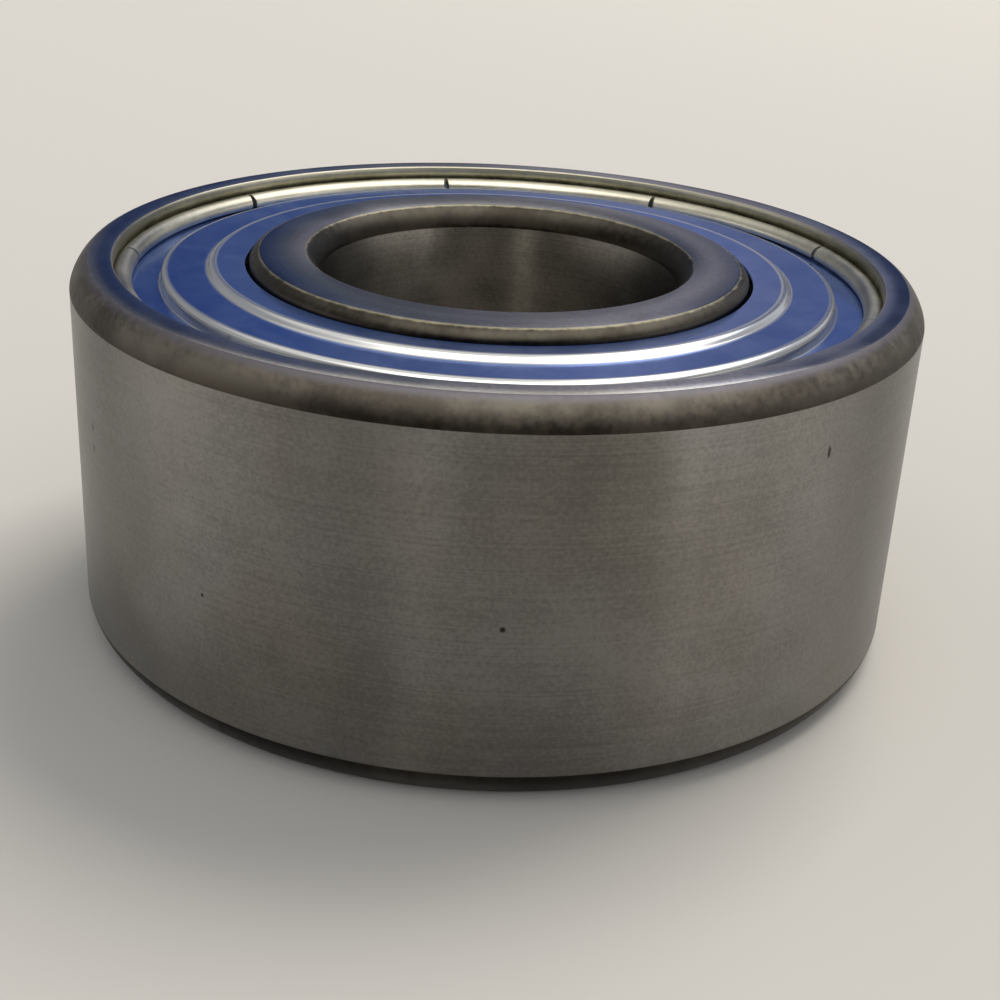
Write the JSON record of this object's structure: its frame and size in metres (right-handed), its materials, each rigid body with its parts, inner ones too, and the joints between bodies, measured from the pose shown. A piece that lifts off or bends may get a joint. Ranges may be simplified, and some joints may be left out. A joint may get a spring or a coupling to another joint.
{
  "type": "angular contact ball bearing",
  "caption": "Double-row angular contact ball bearing with an inner ring that turns in a plain outer ring, closed on both sides by pressed metal shields.",
  "frame": {"origin": "centre of the bearing, on the axis of the bore, midway between the two side faces", "axes": "+Z along the bore axis; the bearing is the same on the +Z and -Z sides; +X passes through the first ball of the upper row"},
  "size_m": [0.047, 0.047, 0.0206],
  "materials": {
    "ground_bearing_steel": "ground satin, corners left dark from heat treatment",
    "pressed_sheet_steel": "thin blue zinc finish, satin, rubbed bright on the raised edges and the rolled rim",
    "cage_polyamide": "moulded, satin",
    "lapped_ball_steel": "lapped mirror"
  },
  "bodies": {
    "outer": {"outer_ring": "ground_bearing_steel", "upper_shield": "pressed_sheet_steel", "lower_shield": "pressed_sheet_steel"},
    "inner": {"inner_ring": "ground_bearing_steel"},
    "upper_cage": {"upper_cage": "cage_polyamide"},
    "upper_ball_01": {"upper_ball_01": "lapped_ball_steel"},
    "upper_ball_02": {"upper_ball_02": "lapped_ball_steel"},
    "upper_ball_03": {"upper_ball_03": "lapped_ball_steel"},
    "upper_ball_04": {"upper_ball_04": "lapped_ball_steel"},
    "upper_ball_05": {"upper_ball_05": "lapped_ball_steel"},
    "upper_ball_06": {"upper_ball_06": "lapped_ball_steel"},
    "upper_ball_07": {"upper_ball_07": "lapped_ball_steel"},
    "upper_ball_08": {"upper_ball_08": "lapped_ball_steel"},
    "upper_ball_09": {"upper_ball_09": "lapped_ball_steel"},
    "upper_ball_10": {"upper_ball_10": "lapped_ball_steel"},
    "lower_cage": {"lower_cage": "cage_polyamide"},
    "lower_ball_01": {"lower_ball_01": "lapped_ball_steel"},
    "lower_ball_02": {"lower_ball_02": "lapped_ball_steel"},
    "lower_ball_03": {"lower_ball_03": "lapped_ball_steel"},
    "lower_ball_04": {"lower_ball_04": "lapped_ball_steel"},
    "lower_ball_05": {"lower_ball_05": "lapped_ball_steel"},
    "lower_ball_06": {"lower_ball_06": "lapped_ball_steel"},
    "lower_ball_07": {"lower_ball_07": "lapped_ball_steel"},
    "lower_ball_08": {"lower_ball_08": "lapped_ball_steel"},
    "lower_ball_09": {"lower_ball_09": "lapped_ball_steel"},
    "lower_ball_10": {"lower_ball_10": "lapped_ball_steel"}
  },
  "joints": [
    {"name": "inner_ring_spin", "type": "hinge", "parent": "outer", "child": "inner", "pos_m": [0, 0, 0], "axis": [0, 0, 1], "continuous": true},
    {"name": "upper_cage_spin", "type": "hinge", "parent": "outer", "child": "upper_cage", "pos_m": [0, 0, 0.00398], "axis": [0, 0, 1], "continuous": true},
    {"name": "upper_ball_01_spin", "type": "hinge", "parent": "upper_cage", "child": "upper_ball_01", "pos_m": [0.01675, 0, 0.00398], "axis": [0.5, 0, 0.866], "continuous": true},
    {"name": "upper_ball_02_spin", "type": "hinge", "parent": "upper_cage", "child": "upper_ball_02", "pos_m": [0.01355, 0.00985, 0.00398], "axis": [0.4045, 0.2939, 0.866], "continuous": true},
    {"name": "upper_ball_03_spin", "type": "hinge", "parent": "upper_cage", "child": "upper_ball_03", "pos_m": [0.00518, 0.01593, 0.00398], "axis": [0.1545, 0.4755, 0.866], "continuous": true},
    {"name": "upper_ball_04_spin", "type": "hinge", "parent": "upper_cage", "child": "upper_ball_04", "pos_m": [-0.00518, 0.01593, 0.00398], "axis": [-0.1545, 0.4755, 0.866], "continuous": true},
    {"name": "upper_ball_05_spin", "type": "hinge", "parent": "upper_cage", "child": "upper_ball_05", "pos_m": [-0.01355, 0.00985, 0.00398], "axis": [-0.4045, 0.2939, 0.866], "continuous": true},
    {"name": "upper_ball_06_spin", "type": "hinge", "parent": "upper_cage", "child": "upper_ball_06", "pos_m": [-0.01675, 0, 0.00398], "axis": [-0.5, 0, 0.866], "continuous": true},
    {"name": "upper_ball_07_spin", "type": "hinge", "parent": "upper_cage", "child": "upper_ball_07", "pos_m": [-0.01355, -0.00985, 0.00398], "axis": [-0.4045, -0.2939, 0.866], "continuous": true},
    {"name": "upper_ball_08_spin", "type": "hinge", "parent": "upper_cage", "child": "upper_ball_08", "pos_m": [-0.00518, -0.01593, 0.00398], "axis": [-0.1545, -0.4755, 0.866], "continuous": true},
    {"name": "upper_ball_09_spin", "type": "hinge", "parent": "upper_cage", "child": "upper_ball_09", "pos_m": [0.00518, -0.01593, 0.00398], "axis": [0.1545, -0.4755, 0.866], "continuous": true},
    {"name": "upper_ball_10_spin", "type": "hinge", "parent": "upper_cage", "child": "upper_ball_10", "pos_m": [0.01355, -0.00985, 0.00398], "axis": [0.4045, -0.2939, 0.866], "continuous": true},
    {"name": "lower_cage_spin", "type": "hinge", "parent": "outer", "child": "lower_cage", "pos_m": [0, 0, -0.00398], "axis": [0, 0, 1], "continuous": true},
    {"name": "lower_ball_01_spin", "type": "hinge", "parent": "lower_cage", "child": "lower_ball_01", "pos_m": [0.01593, 0.00518, -0.00398], "axis": [-0.4755, -0.1545, 0.866], "continuous": true},
    {"name": "lower_ball_02_spin", "type": "hinge", "parent": "lower_cage", "child": "lower_ball_02", "pos_m": [0.00985, 0.01355, -0.00398], "axis": [-0.2939, -0.4045, 0.866], "continuous": true},
    {"name": "lower_ball_03_spin", "type": "hinge", "parent": "lower_cage", "child": "lower_ball_03", "pos_m": [0, 0.01675, -0.00398], "axis": [0, -0.5, 0.866], "continuous": true},
    {"name": "lower_ball_04_spin", "type": "hinge", "parent": "lower_cage", "child": "lower_ball_04", "pos_m": [-0.00985, 0.01355, -0.00398], "axis": [0.2939, -0.4045, 0.866], "continuous": true},
    {"name": "lower_ball_05_spin", "type": "hinge", "parent": "lower_cage", "child": "lower_ball_05", "pos_m": [-0.01593, 0.00518, -0.00398], "axis": [0.4755, -0.1545, 0.866], "continuous": true},
    {"name": "lower_ball_06_spin", "type": "hinge", "parent": "lower_cage", "child": "lower_ball_06", "pos_m": [-0.01593, -0.00518, -0.00398], "axis": [0.4755, 0.1545, 0.866], "continuous": true},
    {"name": "lower_ball_07_spin", "type": "hinge", "parent": "lower_cage", "child": "lower_ball_07", "pos_m": [-0.00985, -0.01355, -0.00398], "axis": [0.2939, 0.4045, 0.866], "continuous": true},
    {"name": "lower_ball_08_spin", "type": "hinge", "parent": "lower_cage", "child": "lower_ball_08", "pos_m": [0, -0.01675, -0.00398], "axis": [0, 0.5, 0.866], "continuous": true},
    {"name": "lower_ball_09_spin", "type": "hinge", "parent": "lower_cage", "child": "lower_ball_09", "pos_m": [0.00985, -0.01355, -0.00398], "axis": [-0.2939, 0.4045, 0.866], "continuous": true},
    {"name": "lower_ball_10_spin", "type": "hinge", "parent": "lower_cage", "child": "lower_ball_10", "pos_m": [0.01593, -0.00518, -0.00398], "axis": [-0.4755, 0.1545, 0.866], "continuous": true}
  ],
  "couplings": [
    {"joint": "upper_cage_spin", "follows": "inner_ring_spin", "ratio": 0.40764},
    {"joint": "upper_ball_01_spin", "follows": "inner_ring_spin", "ratio": -2.2643},
    {"joint": "upper_ball_02_spin", "follows": "inner_ring_spin", "ratio": -2.2643},
    {"joint": "upper_ball_03_spin", "follows": "inner_ring_spin", "ratio": -2.2643},
    {"joint": "upper_ball_04_spin", "follows": "inner_ring_spin", "ratio": -2.2643},
    {"joint": "upper_ball_05_spin", "follows": "inner_ring_spin", "ratio": -2.2643},
    {"joint": "upper_ball_06_spin", "follows": "inner_ring_spin", "ratio": -2.2643},
    {"joint": "upper_ball_07_spin", "follows": "inner_ring_spin", "ratio": -2.2643},
    {"joint": "upper_ball_08_spin", "follows": "inner_ring_spin", "ratio": -2.2643},
    {"joint": "upper_ball_09_spin", "follows": "inner_ring_spin", "ratio": -2.2643},
    {"joint": "upper_ball_10_spin", "follows": "inner_ring_spin", "ratio": -2.2643},
    {"joint": "lower_cage_spin", "follows": "inner_ring_spin", "ratio": 0.40764},
    {"joint": "lower_ball_01_spin", "follows": "inner_ring_spin", "ratio": -2.2643},
    {"joint": "lower_ball_02_spin", "follows": "inner_ring_spin", "ratio": -2.2643},
    {"joint": "lower_ball_03_spin", "follows": "inner_ring_spin", "ratio": -2.2643},
    {"joint": "lower_ball_04_spin", "follows": "inner_ring_spin", "ratio": -2.2643},
    {"joint": "lower_ball_05_spin", "follows": "inner_ring_spin", "ratio": -2.2643},
    {"joint": "lower_ball_06_spin", "follows": "inner_ring_spin", "ratio": -2.2643},
    {"joint": "lower_ball_07_spin", "follows": "inner_ring_spin", "ratio": -2.2643},
    {"joint": "lower_ball_08_spin", "follows": "inner_ring_spin", "ratio": -2.2643},
    {"joint": "lower_ball_09_spin", "follows": "inner_ring_spin", "ratio": -2.2643},
    {"joint": "lower_ball_10_spin", "follows": "inner_ring_spin", "ratio": -2.2643}
  ]
}
